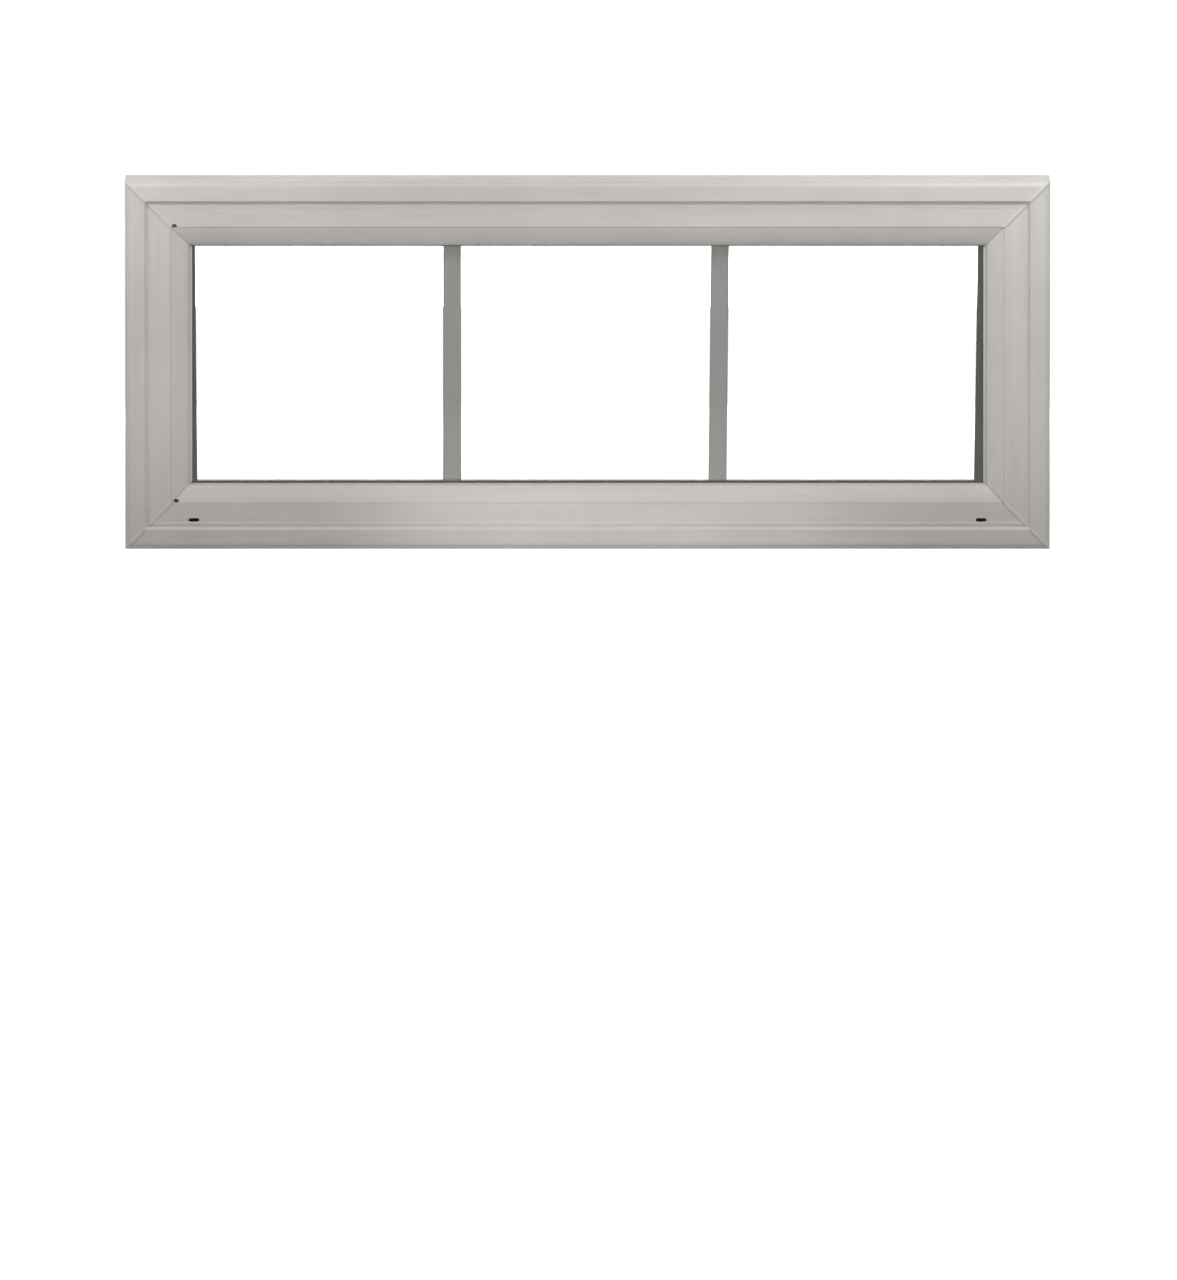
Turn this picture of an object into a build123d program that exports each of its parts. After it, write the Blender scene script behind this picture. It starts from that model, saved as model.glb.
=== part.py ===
"""Fixed transom window: a mitred and welded white vinyl frame, outside glazing beads and a sealed
double-glazed unit with two flat bars between its panes, which divide it into three lights.

X runs along the width, to the right as seen from outside. Y runs from outside to inside, and Z is up.
The origin is under the middle of the sill, half-way through the frame's depth. Sizes are in millimetres.

Every long piece is a section drawn in two numbers: how far in it is from the outer edge of its own
rectangle, and how deep it is behind the frame's foremost plane. The same section runs along all four sides.
"""

import os
from math import sqrt

from build123d import *

# The whole frame
FRAME_WIDTH = 908.0
FRAME_HEIGHT = 362.0
FRAME_DEPTH = 82.5

# The outside bands of the frame section, from the outer edge inwards
NOSE_RADIUS = 6.0
RIM_WIDTH = 20.4
RIM_STEP = 4.0
RISER_RUN = 2.2
QUIRK_OFFSET = 2.0
QUIRK_WIDTH = 4.4
QUIRK_RISE = 0.5
FACE_WIDTH = 24.8

# The walls of the hollow section
OUTER_WALL = 2.2
WEB = 1.5
FACE_EDGE_RADIUS = 0.5
STEP_RADIUS = 0.8

# The glazing leg, and the ledge behind it on the room side
SIGHT_WIDTH = 18.2
LEG_THICKNESS = 2.5
LEDGE_DROP = 2.0
LEG_TIP_RADIUS = 0.9
INSIDE_STEP_RUN = 6.0
INSIDE_STEP_DEPTH = 6.5
INSIDE_FACE_DEPTH = 6.0
INSIDE_RADIUS = 2.0

# The slot round the outside of the frame that takes a fin or a flange
FIN_SLOT_CENTRE = 35.0
FIN_SLOT_MOUTH = 3.2
FIN_SLOT_WIDTH = 5.0
FIN_SLOT_NECK = 3.0
FIN_SLOT_DEPTH = 6.0

# The groove that the glazing beads snap into
GROOVE_FRONT = 8.0
GROOVE_MOUTH = 2.2
GROOVE_WIDTH = 3.5
GROOVE_NECK = 2.2
GROOVE_DEPTH = 5.0

# The weld at each corner of the frame, trimmed to a low band in front along the mitre
WELD_HALF_WIDTH = 2.0
WELD_RISE = 0.35

# The glazing beads
BEAD_SETBACK = 0.4
BEAD_FOOT_END = 16.5
BEAD_NOSE_DEPTH = 12.4
BEAD_NOSE_INSET = 1.0
BEAD_WALL = 1.4
BEAD_CROWN = 0.5
BEAD_EDGE_RADIUS = 0.5
BEAD_MITRE_GAP = 0.3
SNAP_THICKNESS = 1.7
SNAP_CLEARANCE = 0.25
TIP_GAP_LENGTH = 4.8
TIP_GAP_WIDTH = 2.0
GAPPED_CORNERS = (("left", "head"), ("left", "sill"))

# The soft lip along each bead's edge
LIP_BOND_WIDTH = 3.5
LIP_REACH = 0.6
LIP_NOSE_WRAP = 1.1

# The double-glazed unit
GLASS_FRONT = 18.0
PANE = 3.0
CAVITY = 13.0
TAPE_THICKNESS = 2.0
TAPE_WIDTH = 6.5
CLEARANCE_LEFT = 5.0
CLEARANCE_RIGHT = 9.0
CLEARANCE_SILL = 3.0
CLEARANCE_HEAD = 2.0
EDGE_SEAL_WIDTH = 7.0
SPACER_HEIGHT = 11.0
SPACER_WALL = 0.8
SPACER_SHOULDER = 2.5

# The bars between the panes, and the clips that hold their ends
BAR_COUNT = 2
BAR_WIDTH = 18.0
BAR_THICKNESS = 6.0
BAR_WALL = 0.7
BAR_EDGE_RADIUS = 2.4
CLIP_PLATE = 2.0
CLIP_TONGUE = 12.0
CLIP_CLEARANCE = 0.1

# The blocks that carry and centre the unit
BLOCK_LENGTH = 80.0
EDGE_BLOCK_LENGTH = 50.0

# The way that rain runs out: slots in the rebate floor and in the sill's outside face
WEEP_LENGTH = 10.5
WEEP_HEIGHT = 3.5
WEEP_FROM_END = 67.5
WEEP_FROM_EDGE = 28.5
DRAIN_LENGTH = 20.0
DRAIN_WIDTH = 4.0
DRAIN_DEPTH = 23.0
DRAIN_FROM_MIDDLE = 330.0

# The fixing holes through the jambs, and the caps over them
FIXING_SPACING = 160.0
FIXING_DEPTH = 58.0
FIXING_RADIUS = 2.5
DRIVER_RADIUS = 5.0
CAP_RADIUS = 6.5
CAP_HEIGHT = 1.6
CAP_BEVEL = 0.6
CAP_STEM = 5.0

# Lines that several pieces share, as distances in from the frame's outer edge
REBATE_FLOOR = RIM_WIDTH + FACE_WIDTH
SIGHT_LINE = REBATE_FLOOR + SIGHT_WIDTH
LEDGE = SIGHT_LINE - LEDGE_DROP
INSIDE_EDGE = LEDGE - INSIDE_STEP_RUN

# Planes that several pieces share, as depths behind the foremost faces, which are the weld bands
RIM_FRONT = WELD_RISE
CAVITY_FRONT = GLASS_FRONT + PANE
CAVITY_BACK = CAVITY_FRONT + CAVITY
GLASS_BACK = CAVITY_BACK + PANE
LEG_FRONT = GLASS_BACK + TAPE_THICKNESS
BAR_MIDDLE = CAVITY_FRONT + CAVITY / 2

# The rectangle of the double-glazed unit
UNIT_LEFT = -FRAME_WIDTH / 2 + REBATE_FLOOR + CLEARANCE_LEFT
UNIT_RIGHT = FRAME_WIDTH / 2 - REBATE_FLOOR - CLEARANCE_RIGHT
UNIT_BOTTOM = REBATE_FLOOR + CLEARANCE_SILL
UNIT_TOP = FRAME_HEIGHT - REBATE_FLOOR - CLEARANCE_HEAD
UNIT_WIDTH = UNIT_RIGHT - UNIT_LEFT
UNIT_HEIGHT = UNIT_TOP - UNIT_BOTTOM
UNIT_X = (UNIT_LEFT + UNIT_RIGHT) / 2
UNIT_Z = (UNIT_BOTTOM + UNIT_TOP) / 2

SECTION_PLANE = Plane(origin=(0, -FRAME_DEPTH / 2, 0), x_dir=(0, 0, 1), z_dir=(-1, 0, 0))
REACH = SIGHT_LINE + 10.0


def outline(points, rounds=()):
    """A closed outline of straight runs, with the corners nearest the given points rounded."""
    with BuildSketch() as drawn:
        with BuildLine():
            Polyline(*points, close=True)
        make_face()
        for corner, radius in rounds:
            fillet(drawn.vertices().sort_by_distance(corner)[0], radius)
    return drawn.sketch


def row_y(depth):
    """Depth behind the foremost plane, as a Y coordinate."""
    return depth - FRAME_DEPTH / 2


def run(section, length, setback=0.0):
    """The section run along X and cut to 45 degrees at both ends, each end held back by setback."""
    end = length / 2 - setback * sqrt(2)
    with BuildSketch(Plane.XZ) as mitres:
        with BuildLine():
            Polyline(
                (-end - REACH, -REACH),
                (end + REACH, -REACH),
                (end - REACH, REACH),
                (-end + REACH, REACH),
                close=True,
            )
        make_face()
    blank = extrude(SECTION_PLANE * section, amount=length / 2 + REACH, both=True)
    return blank & extrude(mitres.sketch, amount=2 * FRAME_DEPTH, both=True)


def four_sides(make, width, height, x_middle, z_middle):
    """The pieces of one section on the sill, head and jambs of a rectangle, by side."""
    flat = make(width)
    upright = make(height)
    left, right = x_middle - width / 2, x_middle + width / 2
    bottom, top = z_middle - height / 2, z_middle + height / 2
    return {
        "sill": Location((x_middle, 0, bottom)) * flat,
        "head": Location((x_middle, 0, top), (0, 180, 0)) * flat,
        "left": Location((left, 0, z_middle), (0, 90, 0)) * upright,
        "right": Location((right, 0, z_middle), (0, -90, 0)) * upright,
    }


def frame_sides(make):
    """The pieces of one section round the frame's own rectangle."""
    return four_sides(make, FRAME_WIDTH, FRAME_HEIGHT, 0, FRAME_HEIGHT / 2)


def unit_sides(make, inset=0.0):
    """The pieces of one section round the double-glazed unit, or round a rectangle inside it."""
    return four_sides(make, UNIT_WIDTH - 2 * inset, UNIT_HEIGHT - 2 * inset, UNIT_X, UNIT_Z)


def frame_outline():
    """The outside of the frame extrusion: rim, step, face, bead groove, glazing leg, ledge and back."""
    groove_bottom = REBATE_FLOOR - GROOVE_DEPTH
    groove_shoulder = REBATE_FLOOR - GROOVE_NECK
    slot_near = FIN_SLOT_CENTRE - FIN_SLOT_MOUTH / 2
    slot_far = FIN_SLOT_CENTRE + FIN_SLOT_MOUTH / 2
    pocket_near = FIN_SLOT_CENTRE - FIN_SLOT_WIDTH / 2
    pocket_far = FIN_SLOT_CENTRE + FIN_SLOT_WIDTH / 2
    outer_corner = (0, RIM_FRONT)
    rim_end = (RIM_WIDTH - RISER_RUN / 2, RIM_FRONT)
    step_foot = (RIM_WIDTH + RISER_RUN / 2, RIM_STEP)
    face_end = (REBATE_FLOOR, RIM_STEP)
    leg_tip_front = (SIGHT_LINE, LEG_FRONT)
    leg_tip_back = (SIGHT_LINE, LEG_FRONT + LEG_THICKNESS)
    ledge_end = (LEDGE, FRAME_DEPTH - INSIDE_FACE_DEPTH - INSIDE_STEP_DEPTH)
    inside_shoulder = (INSIDE_EDGE, FRAME_DEPTH - INSIDE_FACE_DEPTH)
    inside_corner = (INSIDE_EDGE, FRAME_DEPTH)
    body = outline(
        [
            outer_corner,
            rim_end,
            step_foot,
            face_end,
            (REBATE_FLOOR, GROOVE_FRONT),
            (groove_bottom, GROOVE_FRONT),
            (groove_bottom, GROOVE_FRONT + GROOVE_WIDTH),
            (groove_shoulder, GROOVE_FRONT + GROOVE_WIDTH),
            (groove_shoulder, GROOVE_FRONT + GROOVE_MOUTH),
            (REBATE_FLOOR, GROOVE_FRONT + GROOVE_MOUTH),
            (REBATE_FLOOR, LEG_FRONT),
            leg_tip_front,
            leg_tip_back,
            (LEDGE, LEG_FRONT + LEG_THICKNESS + LEDGE_DROP),
            ledge_end,
            inside_shoulder,
            inside_corner,
            (0, FRAME_DEPTH),
            (0, slot_far),
            (FIN_SLOT_NECK, slot_far),
            (FIN_SLOT_NECK, pocket_far),
            (FIN_SLOT_DEPTH, pocket_far),
            (FIN_SLOT_DEPTH, pocket_near),
            (FIN_SLOT_NECK, pocket_near),
            (FIN_SLOT_NECK, slot_near),
            (0, slot_near),
        ],
        rounds=[
            (outer_corner, NOSE_RADIUS),
            (rim_end, STEP_RADIUS),
            (step_foot, STEP_RADIUS),
            (face_end, FACE_EDGE_RADIUS),
            (leg_tip_front, LEG_TIP_RADIUS),
            (leg_tip_back, LEG_TIP_RADIUS),
            (ledge_end, INSIDE_RADIUS),
            (inside_shoulder, INSIDE_RADIUS),
            (inside_corner, INSIDE_RADIUS),
            ((0, FRAME_DEPTH), INSIDE_RADIUS),
        ],
    )
    return body + quirk()


def quirk():
    """The low rounded moulding at the foot of the rim's step."""
    start = RIM_WIDTH + QUIRK_OFFSET
    with BuildSketch() as drawn:
        with BuildLine():
            ThreePointArc(
                (start, RIM_STEP),
                (start + QUIRK_WIDTH / 2, RIM_STEP - QUIRK_RISE),
                (start + QUIRK_WIDTH, RIM_STEP),
            )
            Polyline(
                (start + QUIRK_WIDTH, RIM_STEP),
                (start + QUIRK_WIDTH, RIM_STEP + OUTER_WALL / 2),
                (start, RIM_STEP + OUTER_WALL / 2),
                (start, RIM_STEP),
            )
        make_face()
    return drawn.sketch


def frame_chambers():
    """The hollow chambers inside the frame extrusion."""
    rim_back = RIM_WIDTH - RISER_RUN / 2 - OUTER_WALL + STEP_RADIUS
    face_start = rim_back + WEB
    floor_under = REBATE_FLOOR - OUTER_WALL
    groove_under = REBATE_FLOOR - GROOVE_DEPTH - OUTER_WALL
    groove_behind = GROOVE_FRONT + GROOVE_WIDTH + OUTER_WALL
    slot_block = FIN_SLOT_DEPTH + OUTER_WALL
    front_end = FIN_SLOT_CENTRE - FIN_SLOT_WIDTH / 2 - OUTER_WALL - WEB
    middle_start = front_end + WEB
    middle_end = LEG_FRONT + OUTER_WALL
    back_start = middle_end + WEB
    back_end = FRAME_DEPTH - OUTER_WALL
    back_split = (OUTER_WALL + floor_under) / 2
    rim_chamber = outline(
        [
            (OUTER_WALL, RIM_FRONT + NOSE_RADIUS),
            (NOSE_RADIUS, RIM_FRONT + OUTER_WALL),
            (rim_back, RIM_FRONT + OUTER_WALL),
            (rim_back, front_end),
            (OUTER_WALL, front_end),
        ]
    )
    drain_chamber = outline(
        [
            (face_start, RIM_STEP + OUTER_WALL),
            (groove_under, RIM_STEP + OUTER_WALL),
            (groove_under, groove_behind),
            (floor_under, groove_behind),
            (floor_under, front_end),
            (face_start, front_end),
        ]
    )
    middle_chamber = outline(
        [
            (slot_block, middle_start),
            (floor_under, middle_start),
            (floor_under, middle_end),
            (slot_block, middle_end),
        ]
    )
    outer_back_chamber = outline(
        [
            (OUTER_WALL, back_start),
            (back_split - WEB / 2, back_start),
            (back_split - WEB / 2, back_end),
            (OUTER_WALL, back_end),
        ]
    )
    inner_back_chamber = outline(
        [
            (back_split + WEB / 2, back_start),
            (floor_under, back_start),
            (floor_under, back_end),
            (back_split + WEB / 2, back_end),
        ]
    )
    ledge_chamber = outline(
        [
            (floor_under + WEB, middle_end),
            (LEDGE - OUTER_WALL, middle_end),
            (LEDGE - OUTER_WALL, ledge_wall_end()),
            (INSIDE_EDGE - OUTER_WALL, FRAME_DEPTH - INSIDE_FACE_DEPTH - OUTER_WALL / 2),
            (INSIDE_EDGE - OUTER_WALL, back_end),
            (floor_under + WEB, back_end),
        ]
    )
    return (
        rim_chamber
        + drain_chamber
        + middle_chamber
        + outer_back_chamber
        + inner_back_chamber
        + ledge_chamber
    )


def ledge_wall_end():
    """Depth at which the inside of the ledge's wall turns down the inside step."""
    return FRAME_DEPTH - INSIDE_FACE_DEPTH - INSIDE_STEP_DEPTH - OUTER_WALL / 2


def weep_slots():
    """Cutters for the two round-ended slots in the sill's outside face."""
    with BuildSketch(Plane.XZ.offset(FRAME_DEPTH / 2 + 1)) as slots:
        for side in (-1, 1):
            with Locations((side * (FRAME_WIDTH / 2 - WEEP_FROM_END), WEEP_FROM_EDGE)):
                SlotOverall(WEEP_LENGTH, WEEP_HEIGHT)
    return extrude(slots.sketch, amount=-(1 + RIM_STEP + 2 * OUTER_WALL))


def drain_slots():
    """Cutters for the slots in the rebate floor that let rain into the drain chamber."""
    cutter = Box(DRAIN_LENGTH, DRAIN_WIDTH, 2 * OUTER_WALL)
    height = REBATE_FLOOR - OUTER_WALL / 2
    along = (-DRAIN_FROM_MIDDLE, 0, DRAIN_FROM_MIDDLE)
    return [Location((x, row_y(DRAIN_DEPTH), height)) * cutter for x in along]


def fixing_places():
    """Heights of the fixing holes, by name."""
    middle = FRAME_HEIGHT / 2
    return {"lower": middle - FIXING_SPACING / 2, "upper": middle + FIXING_SPACING / 2}


def fixing_holes(side):
    """Cutters for one jamb's holes: a narrow one in the outer wall, and a wide one for the driver."""
    outer_face = side * FRAME_WIDTH / 2
    cutters = []
    for height in fixing_places().values():
        towards_opening = Location((outer_face, row_y(FIXING_DEPTH), height), (0, -90 * side, 0))
        hole = Cylinder(FIXING_RADIUS, 2 * OUTER_WALL + 1)
        driver = Location((0, 0, OUTER_WALL + REACH / 2 + 0.5)) * Cylinder(DRIVER_RADIUS, REACH)
        cutters += [towards_opening * hole, towards_opening * driver]
    return cutters


def weld_band(outside):
    """The frame's front faces, brought forward to where a trimmed weld stands."""
    with BuildSketch() as front:
        Rectangle(REBATE_FLOOR, GROOVE_FRONT, align=(Align.MIN, Align.MIN))
    return Location((0, -WELD_RISE)) * (outside & front.sketch)


def frame():
    """Head, sill and jambs, each hollow and mitred, with a low weld band at its ends."""
    outside = frame_outline()
    chambers = frame_chambers()
    whole = outside - chambers
    band = weld_band(outside) - chambers

    def member(length):
        ends = run(band, length) - run(band, length, setback=WELD_HALF_WIDTH)
        return run(whole, length) + ends

    sides = frame_sides(member)
    sides["sill"] -= weep_slots()
    sides["sill"] -= drain_slots()
    sides["left"] -= fixing_holes(-1)
    sides["right"] -= fixing_holes(1)
    return {
        "frame_sill": sides["sill"],
        "frame_head": sides["head"],
        "frame_jamb_left": sides["left"],
        "frame_jamb_right": sides["right"],
    }


def bead_section():
    """The hollow glazing bead, with the barbed leg that snaps into the frame."""
    front = RIM_STEP + BEAD_SETBACK
    nose = SIGHT_LINE - BEAD_NOSE_INSET
    crown = ((REBATE_FLOOR + nose) / 2, (front + BEAD_NOSE_DEPTH) / 2)
    slope = sqrt((nose - REBATE_FLOOR) ** 2 + (BEAD_NOSE_DEPTH - front) ** 2)
    bulge = (
        crown[0] + BEAD_CROWN * (BEAD_NOSE_DEPTH - front) / slope,
        crown[1] - BEAD_CROWN * (nose - REBATE_FLOOR) / slope,
    )
    with BuildSketch() as drawn:
        with BuildLine():
            ThreePointArc((REBATE_FLOOR, front), bulge, (nose, BEAD_NOSE_DEPTH))
            Polyline(
                (nose, BEAD_NOSE_DEPTH),
                (nose, BEAD_FOOT_END),
                (REBATE_FLOOR, BEAD_FOOT_END),
                (REBATE_FLOOR, front),
            )
        make_face()
        fillet(drawn.vertices().sort_by_distance((REBATE_FLOOR, front))[0], BEAD_EDGE_RADIUS)
        fillet(drawn.vertices().sort_by_distance((nose, BEAD_NOSE_DEPTH))[0], BEAD_EDGE_RADIUS)
    inside = outline(
        [
            (REBATE_FLOOR + BEAD_WALL, front + 2 * BEAD_WALL),
            (nose - BEAD_WALL, BEAD_NOSE_DEPTH + BEAD_WALL),
            (nose - BEAD_WALL, BEAD_FOOT_END - BEAD_WALL),
            (REBATE_FLOOR + BEAD_WALL, BEAD_FOOT_END - BEAD_WALL),
        ]
    )
    leg_front = GROOVE_FRONT + SNAP_CLEARANCE
    leg_back = leg_front + SNAP_THICKNESS
    leg_end = REBATE_FLOOR - GROOVE_DEPTH + SNAP_CLEARANCE
    barb_top = REBATE_FLOOR - GROOVE_NECK - SNAP_CLEARANCE
    barb_back = GROOVE_FRONT + GROOVE_WIDTH - SNAP_CLEARANCE
    leg = outline(
        [
            (REBATE_FLOOR + BEAD_WALL / 2, leg_front),
            (leg_end, leg_front),
            (leg_end, leg_back),
            (barb_top, barb_back),
            (barb_top, leg_back),
            (REBATE_FLOOR + BEAD_WALL / 2, leg_back),
        ]
    )
    return drawn.sketch - inside + leg


def tip_gaps(side):
    """Cutters along the mitre for the outer tips of the beads that fall short of each other."""
    reach = REBATE_FLOOR + TIP_GAP_LENGTH / 2 / sqrt(2)
    with BuildSketch() as gap:
        SlotOverall(TIP_GAP_LENGTH, TIP_GAP_WIDTH)
    slot = extrude(gap.sketch, amount=2 * BEAD_FOOT_END, both=True)
    cutters = []
    for jamb, rail in GAPPED_CORNERS:
        if side in (jamb, rail):
            left = jamb == "left"
            low = rail == "sill"
            x = reach - FRAME_WIDTH / 2 if left else FRAME_WIDTH / 2 - reach
            z = reach if low else FRAME_HEIGHT - reach
            tilt = -45 if left == low else 45
            cutters.append(Location((x, 0, z), (90, tilt, 0)) * slot)
    return cutters


def beads():
    """The four snap-in beads on the outside, mitred with a hairline gap."""
    section = bead_section()
    sides = frame_sides(lambda length: run(section, length, setback=BEAD_MITRE_GAP / 2))
    made = {}
    for side, bead in sides.items():
        for cutter in tip_gaps(side):
            bead -= cutter
        made[f"glazing_bead_{side}"] = bead
    return made


def bead_lips():
    """The soft lips that close each bead against the glass."""
    nose = SIGHT_LINE - BEAD_NOSE_INSET
    edge = SIGHT_LINE + LIP_REACH
    section = outline(
        [
            (nose - LIP_BOND_WIDTH, BEAD_FOOT_END),
            (nose, BEAD_FOOT_END),
            (nose, BEAD_FOOT_END - LIP_NOSE_WRAP),
            (edge, BEAD_FOOT_END - LIP_NOSE_WRAP / 2),
            (edge - LIP_REACH, GLASS_FRONT),
            (nose - LIP_BOND_WIDTH, GLASS_FRONT),
        ]
    )
    sides = frame_sides(lambda length: run(section, length))
    return {f"bead_lip_{side}": lip for side, lip in sides.items()}


def glazing_tape():
    """The foam tape that beds the inside pane on the frame's glazing leg."""
    end = SIGHT_LINE - LEG_TIP_RADIUS
    section = outline(
        [
            (end - TAPE_WIDTH, GLASS_BACK),
            (end, GLASS_BACK),
            (end, LEG_FRONT),
            (end - TAPE_WIDTH, LEG_FRONT),
        ]
    )
    sides = frame_sides(lambda length: run(section, length))
    return {f"glazing_tape_{side}": tape for side, tape in sides.items()}


def panes():
    """The two sheets of glass."""
    sheet = Box(UNIT_WIDTH, PANE, UNIT_HEIGHT)
    return {
        "glass_outside": Location((UNIT_X, row_y(GLASS_FRONT + PANE / 2), UNIT_Z)) * sheet,
        "glass_inside": Location((UNIT_X, row_y(CAVITY_BACK + PANE / 2), UNIT_Z)) * sheet,
    }


def edge_seals():
    """The sealant between the panes, outside the spacer."""
    section = outline(
        [
            (0, CAVITY_FRONT),
            (EDGE_SEAL_WIDTH, CAVITY_FRONT),
            (EDGE_SEAL_WIDTH, CAVITY_BACK),
            (0, CAVITY_BACK),
        ]
    )
    sides = unit_sides(lambda length: run(section, length))
    return {f"edge_seal_{side}": seal for side, seal in sides.items()}


def spacers():
    """The hollow dark spacer bars round the edge of the cavity, with sloping shoulders at the back."""
    shoulder = SPACER_SHOULDER
    tube = outline(
        [
            (0, CAVITY_FRONT + shoulder),
            (shoulder, CAVITY_FRONT),
            (SPACER_HEIGHT, CAVITY_FRONT),
            (SPACER_HEIGHT, CAVITY_BACK),
            (shoulder, CAVITY_BACK),
            (0, CAVITY_BACK - shoulder),
        ]
    )
    hollow = outline(
        [
            (SPACER_WALL, CAVITY_FRONT + shoulder),
            (shoulder, CAVITY_FRONT + SPACER_WALL),
            (SPACER_HEIGHT - SPACER_WALL, CAVITY_FRONT + SPACER_WALL),
            (SPACER_HEIGHT - SPACER_WALL, CAVITY_BACK - SPACER_WALL),
            (shoulder, CAVITY_BACK - SPACER_WALL),
            (SPACER_WALL, CAVITY_BACK - shoulder),
        ]
    )
    section = tube - hollow
    sides = unit_sides(lambda length: run(section, length), inset=EDGE_SEAL_WIDTH)
    return {f"spacer_{side}": spacer for side, spacer in sides.items()}


def bars():
    """The upright hollow bars between the panes, with a clip at each end."""
    edge = EDGE_SEAL_WIDTH + SPACER_HEIGHT
    clear_width = UNIT_WIDTH - 2 * edge
    clear_height = UNIT_HEIGHT - 2 * edge
    light = (clear_width - BAR_COUNT * BAR_WIDTH) / (BAR_COUNT + 1)
    length = clear_height - 2 * CLIP_PLATE
    with BuildSketch() as outer:
        RectangleRounded(BAR_WIDTH, BAR_THICKNESS, BAR_EDGE_RADIUS)
    with BuildSketch() as hollow:
        RectangleRounded(BAR_WIDTH - 2 * BAR_WALL, BAR_THICKNESS - 2 * BAR_WALL, BAR_EDGE_RADIUS - BAR_WALL)
    tongue_side = BAR_WALL + BAR_EDGE_RADIUS / 2
    with BuildSketch() as tongue_section:
        Rectangle(BAR_WIDTH - 2 * tongue_side, BAR_THICKNESS - 2 * BAR_WALL - 2 * CLIP_CLEARANCE)
    bar = extrude(outer.sketch - hollow.sketch, amount=length / 2, both=True)
    plate = extrude(outer.sketch, amount=CLIP_PLATE)
    tongue = extrude(tongue_section.sketch, amount=CLIP_PLATE + CLIP_TONGUE)
    clip = plate + tongue
    names = ["left", "right"]
    made = {}
    for index, name in enumerate(names[:BAR_COUNT]):
        x = UNIT_LEFT + edge + (index + 1) * light + (index + 0.5) * BAR_WIDTH
        y = row_y(BAR_MIDDLE)
        made[f"bar_{name}"] = Location((x, y, UNIT_Z)) * bar
        made[f"bar_clip_{name}_sill"] = Location((x, y, UNIT_BOTTOM + edge)) * clip
        made[f"bar_clip_{name}_head"] = Location((x, y, UNIT_TOP - edge), (180, 0, 0)) * clip
    return made


def blocks():
    """The hard blocks under the unit and beside it."""
    thickness = GLASS_BACK - GLASS_FRONT
    y = row_y((GLASS_FRONT + GLASS_BACK) / 2)
    under = Box(BLOCK_LENGTH, thickness, CLEARANCE_SILL)
    left = Box(CLEARANCE_LEFT, thickness, EDGE_BLOCK_LENGTH)
    right = Box(CLEARANCE_RIGHT, thickness, EDGE_BLOCK_LENGTH)
    z = REBATE_FLOOR + CLEARANCE_SILL / 2
    return {
        "setting_block_left": Location((UNIT_X - UNIT_WIDTH / 4, y, z)) * under,
        "setting_block_right": Location((UNIT_X + UNIT_WIDTH / 4, y, z)) * under,
        "edge_block_left": Location((UNIT_LEFT - CLEARANCE_LEFT / 2, y, UNIT_Z)) * left,
        "edge_block_right": Location((UNIT_RIGHT + CLEARANCE_RIGHT / 2, y, UNIT_Z)) * right,
    }


def screw_caps():
    """The snap-in caps over the driver holes, on the room side of the jambs."""
    stem = DRIVER_RADIUS - CLIP_CLEARANCE
    half_section = outline(
        [
            (0, CAP_HEIGHT),
            (CAP_RADIUS - CAP_BEVEL, CAP_HEIGHT),
            (CAP_RADIUS, CAP_HEIGHT - CAP_BEVEL),
            (CAP_RADIUS, 0),
            (stem, 0),
            (stem, -CAP_STEM),
            (0, -CAP_STEM),
        ]
    )
    cap = revolve(Plane.XZ * half_section, axis=Axis.Z)
    made = {}
    for side, sign in (("left", -1), ("right", 1)):
        x = sign * (FRAME_WIDTH / 2 - LEDGE)
        for name, height in fixing_places().items():
            place = Location((x, row_y(FIXING_DEPTH), height), (0, -90 * sign, 0))
            made[f"screw_cap_{side}_{name}"] = place * cap
    return made


def main():
    os.makedirs("parts", exist_ok=True)
    groups = [frame, beads, bead_lips, glazing_tape, panes, edge_seals, spacers, bars, blocks, screw_caps]
    for group in groups:
        for node, shape in group().items():
            export_step(shape, f"parts/{node}.step")


main()
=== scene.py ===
from math import cos, pi, radians, sin, sqrt, tan

import bmesh
import bpy
from mathutils import Matrix, Vector


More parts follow.
